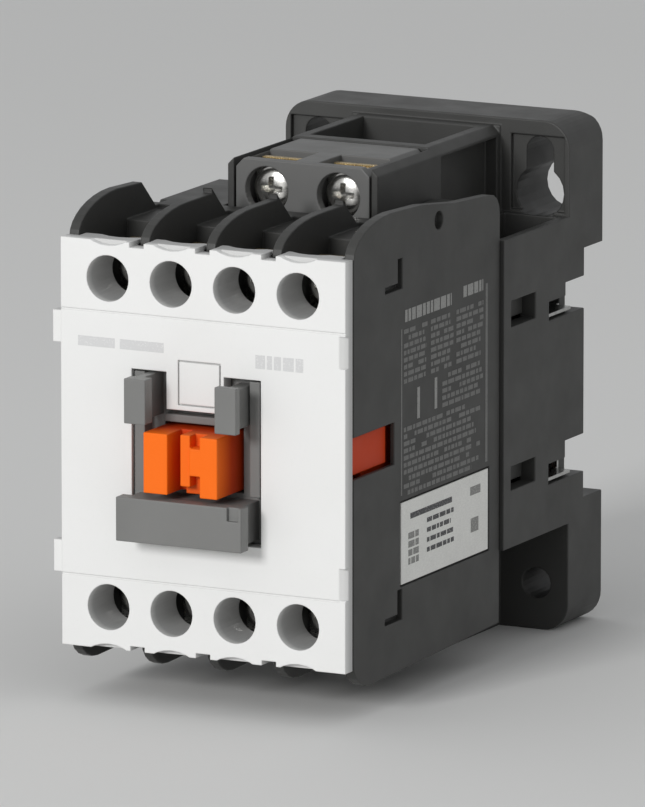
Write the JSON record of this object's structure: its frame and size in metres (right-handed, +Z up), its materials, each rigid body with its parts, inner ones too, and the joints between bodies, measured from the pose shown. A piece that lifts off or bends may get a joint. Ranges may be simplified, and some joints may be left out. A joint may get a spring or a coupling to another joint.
{
  "type": "din rail contactor",
  "caption": "Small power contactor that clips to a top hat rail: moving crossbar with indicator, screw terminals above and below, coil terminals at the rear top.",
  "frame": {"origin": "centre of the flat seat that rests on the front faces of the 35 mm rail", "axes": "front faces -Y, the rail runs along X, +Z is up as mounted; depth runs along Y"},
  "size_m": [0.0459, 0.0858, 0.0734],
  "materials": {
    "dark_housing": "fine matt moulded, dark grey",
    "white_cover": "satin moulded, white",
    "grey_frame": "satin moulded, mid grey",
    "orange_carrier": "satin moulded, orange",
    "terminal_screw": "nickel plated",
    "terminal_clamp": "nickel plated",
    "terminal_strip": "bright brass with silver tip",
    "contact_bridge": "copper with silver tips",
    "coil_spring": "drawn spring wire",
    "lamination": "ground laminated stack",
    "shading_copper": "bright copper",
    "winding": "enamelled copper wire",
    "pin_steel": "ground pin",
    "pad_rubber": "soft black rubber",
    "label_paper": "printed sticker"
  },
  "bodies": {
    "housing": {"main_housing": "dark_housing", "base_housing": "dark_housing", "front_cover": "white_cover", "marker_tag": "white_cover", "accessory_frame": "grey_frame", "coil_bobbin": "grey_frame", "line_contact_1": "terminal_strip", "load_contact_1": "terminal_strip", "line_contact_2": "terminal_strip", "load_contact_2": "terminal_strip", "line_contact_3": "terminal_strip", "load_contact_3": "terminal_strip", "line_contact_4": "terminal_strip", "load_contact_4": "terminal_strip", "coil_terminal_left": "terminal_strip", "shading_ring_left": "shading_copper", "coil_terminal_right": "terminal_strip", "shading_ring_right": "shading_copper", "fixed_core": "lamination", "coil_winding": "winding", "return_spring_upper": "coil_spring", "return_spring_lower": "coil_spring", "din_clip_spring": "coil_spring", "core_saddle": "coil_spring", "damping_pad": "pad_rubber", "nameplate": "label_paper"},
    "contact_carrier": {"contact_carrier": "orange_carrier", "armature": "lamination", "armature_pin": "pin_steel", "contact_spring_1": "coil_spring", "contact_spring_2": "coil_spring", "contact_spring_3": "coil_spring", "contact_spring_4": "coil_spring"},
    "din_clip": {"din_clip": "dark_housing"},
    "moving_contact_1": {"moving_contact_1": "contact_bridge"},
    "moving_contact_2": {"moving_contact_2": "contact_bridge"},
    "moving_contact_3": {"moving_contact_3": "contact_bridge"},
    "moving_contact_4": {"moving_contact_4": "contact_bridge"},
    "line_clamp_1": {"line_clamp_1": "terminal_clamp"},
    "line_screw_1": {"line_screw_1": "terminal_screw"},
    "line_clamp_2": {"line_clamp_2": "terminal_clamp"},
    "line_screw_2": {"line_screw_2": "terminal_screw"},
    "line_clamp_3": {"line_clamp_3": "terminal_clamp"},
    "line_screw_3": {"line_screw_3": "terminal_screw"},
    "line_clamp_4": {"line_clamp_4": "terminal_clamp"},
    "line_screw_4": {"line_screw_4": "terminal_screw"},
    "load_clamp_1": {"load_clamp_1": "terminal_clamp"},
    "load_screw_1": {"load_screw_1": "terminal_screw"},
    "load_clamp_2": {"load_clamp_2": "terminal_clamp"},
    "load_screw_2": {"load_screw_2": "terminal_screw"},
    "load_clamp_3": {"load_clamp_3": "terminal_clamp"},
    "load_screw_3": {"load_screw_3": "terminal_screw"},
    "load_clamp_4": {"load_clamp_4": "terminal_clamp"},
    "load_screw_4": {"load_screw_4": "terminal_screw"},
    "coil_clamp_left": {"coil_clamp_left": "terminal_clamp"},
    "coil_screw_left": {"coil_screw_left": "terminal_screw"},
    "coil_clamp_right": {"coil_clamp_right": "terminal_clamp"},
    "coil_screw_right": {"coil_screw_right": "terminal_screw"}
  },
  "joints": [
    {"name": "contact_carrier_slide", "type": "slide", "parent": "housing", "child": "contact_carrier", "axis": [0, 1, 0], "range_m": [0, 0.0055], "stiffness_N_per_m": 700, "springref_m": -0.004, "deforming": ["return_spring_upper", "return_spring_lower"]},
    {"name": "moving_contact_1_overtravel", "type": "slide", "parent": "contact_carrier", "child": "moving_contact_1", "axis": [0, -1, 0], "range_m": [0, 0.0021], "deforming": ["contact_spring_1"]},
    {"name": "moving_contact_2_overtravel", "type": "slide", "parent": "contact_carrier", "child": "moving_contact_2", "axis": [0, -1, 0], "range_m": [0, 0.0021], "deforming": ["contact_spring_2"]},
    {"name": "moving_contact_3_overtravel", "type": "slide", "parent": "contact_carrier", "child": "moving_contact_3", "axis": [0, -1, 0], "range_m": [0, 0.0021], "deforming": ["contact_spring_3"]},
    {"name": "moving_contact_4_overtravel", "type": "slide", "parent": "contact_carrier", "child": "moving_contact_4", "axis": [0, -1, 0], "range_m": [0, 0.0021], "deforming": ["contact_spring_4"]},
    {"name": "line_clamp_1_lift", "type": "slide", "parent": "housing", "child": "line_clamp_1", "axis": [0, -1, 0], "range_m": [0, 0.0018]},
    {"name": "line_screw_1_turn", "type": "hinge", "parent": "line_clamp_1", "child": "line_screw_1", "pos_m": [-0.0147, -0.0663, 0.0229], "axis": [0, -1, 0], "range_deg": [0, 1080]},
    {"name": "line_clamp_2_lift", "type": "slide", "parent": "housing", "child": "line_clamp_2", "axis": [0, -1, 0], "range_m": [0, 0.0018]},
    {"name": "line_screw_2_turn", "type": "hinge", "parent": "line_clamp_2", "child": "line_screw_2", "pos_m": [-0.0049, -0.0663, 0.0229], "axis": [0, -1, 0], "range_deg": [0, 1080]},
    {"name": "line_clamp_3_lift", "type": "slide", "parent": "housing", "child": "line_clamp_3", "axis": [0, -1, 0], "range_m": [0, 0.0018]},
    {"name": "line_screw_3_turn", "type": "hinge", "parent": "line_clamp_3", "child": "line_screw_3", "pos_m": [0.0049, -0.0663, 0.0229], "axis": [0, -1, 0], "range_deg": [0, 1080]},
    {"name": "line_clamp_4_lift", "type": "slide", "parent": "housing", "child": "line_clamp_4", "axis": [0, -1, 0], "range_m": [0, 0.0018]},
    {"name": "line_screw_4_turn", "type": "hinge", "parent": "line_clamp_4", "child": "line_screw_4", "pos_m": [0.0147, -0.0663, 0.0229], "axis": [0, -1, 0], "range_deg": [0, 1080]},
    {"name": "load_clamp_1_lift", "type": "slide", "parent": "housing", "child": "load_clamp_1", "axis": [0, -1, 0], "range_m": [0, 0.0018]},
    {"name": "load_screw_1_turn", "type": "hinge", "parent": "load_clamp_1", "child": "load_screw_1", "pos_m": [-0.0147, -0.0663, -0.0234], "axis": [0, -1, 0], "range_deg": [0, 1080]},
    {"name": "load_clamp_2_lift", "type": "slide", "parent": "housing", "child": "load_clamp_2", "axis": [0, -1, 0], "range_m": [0, 0.0018]},
    {"name": "load_screw_2_turn", "type": "hinge", "parent": "load_clamp_2", "child": "load_screw_2", "pos_m": [-0.0049, -0.0663, -0.0234], "axis": [0, -1, 0], "range_deg": [0, 1080]},
    {"name": "load_clamp_3_lift", "type": "slide", "parent": "housing", "child": "load_clamp_3", "axis": [0, -1, 0], "range_m": [0, 0.0018]},
    {"name": "load_screw_3_turn", "type": "hinge", "parent": "load_clamp_3", "child": "load_screw_3", "pos_m": [0.0049, -0.0663, -0.0234], "axis": [0, -1, 0], "range_deg": [0, 1080]},
    {"name": "load_clamp_4_lift", "type": "slide", "parent": "housing", "child": "load_clamp_4", "axis": [0, -1, 0], "range_m": [0, 0.0018]},
    {"name": "load_screw_4_turn", "type": "hinge", "parent": "load_clamp_4", "child": "load_screw_4", "pos_m": [0.0147, -0.0663, -0.0234], "axis": [0, -1, 0], "range_deg": [0, 1080]},
    {"name": "coil_clamp_left_lift", "type": "slide", "parent": "housing", "child": "coil_clamp_left", "axis": [0, -1, 0], "range_m": [0, 0.0018]},
    {"name": "coil_screw_left_turn", "type": "hinge", "parent": "coil_clamp_left", "child": "coil_screw_left", "pos_m": [-0.0056, -0.0427, 0.0311], "axis": [0, -1, 0], "range_deg": [0, 1080]},
    {"name": "coil_clamp_right_lift", "type": "slide", "parent": "housing", "child": "coil_clamp_right", "axis": [0, -1, 0], "range_m": [0, 0.0018]},
    {"name": "coil_screw_right_turn", "type": "hinge", "parent": "coil_clamp_right", "child": "coil_screw_right", "pos_m": [0.0056, -0.0427, 0.0311], "axis": [0, -1, 0], "range_deg": [0, 1080]},
    {"name": "din_clip_slide", "type": "slide", "parent": "housing", "child": "din_clip", "axis": [0, 0, -1], "range_m": [0, 0.004], "stiffness_N_per_m": 1500, "springref_m": -0.002, "deforming": ["din_clip_spring"]}
  ],
  "couplings": [
    {"joint": "moving_contact_1_overtravel", "follows": "contact_carrier_slide", "ratio": 0.38182},
    {"joint": "moving_contact_2_overtravel", "follows": "contact_carrier_slide", "ratio": 0.38182},
    {"joint": "moving_contact_3_overtravel", "follows": "contact_carrier_slide", "ratio": 0.38182},
    {"joint": "moving_contact_4_overtravel", "follows": "contact_carrier_slide", "ratio": 0.38182},
    {"joint": "line_screw_1_turn", "follows": "line_clamp_1_lift", "rad_per_m": 10471},
    {"joint": "line_screw_2_turn", "follows": "line_clamp_2_lift", "rad_per_m": 10471},
    {"joint": "line_screw_3_turn", "follows": "line_clamp_3_lift", "rad_per_m": 10471},
    {"joint": "line_screw_4_turn", "follows": "line_clamp_4_lift", "rad_per_m": 10471},
    {"joint": "load_screw_1_turn", "follows": "load_clamp_1_lift", "rad_per_m": 10471},
    {"joint": "load_screw_2_turn", "follows": "load_clamp_2_lift", "rad_per_m": 10471},
    {"joint": "load_screw_3_turn", "follows": "load_clamp_3_lift", "rad_per_m": 10471},
    {"joint": "load_screw_4_turn", "follows": "load_clamp_4_lift", "rad_per_m": 10471},
    {"joint": "coil_screw_left_turn", "follows": "coil_clamp_left_lift", "rad_per_m": 10471},
    {"joint": "coil_screw_right_turn", "follows": "coil_clamp_right_lift", "rad_per_m": 10471}
  ]
}
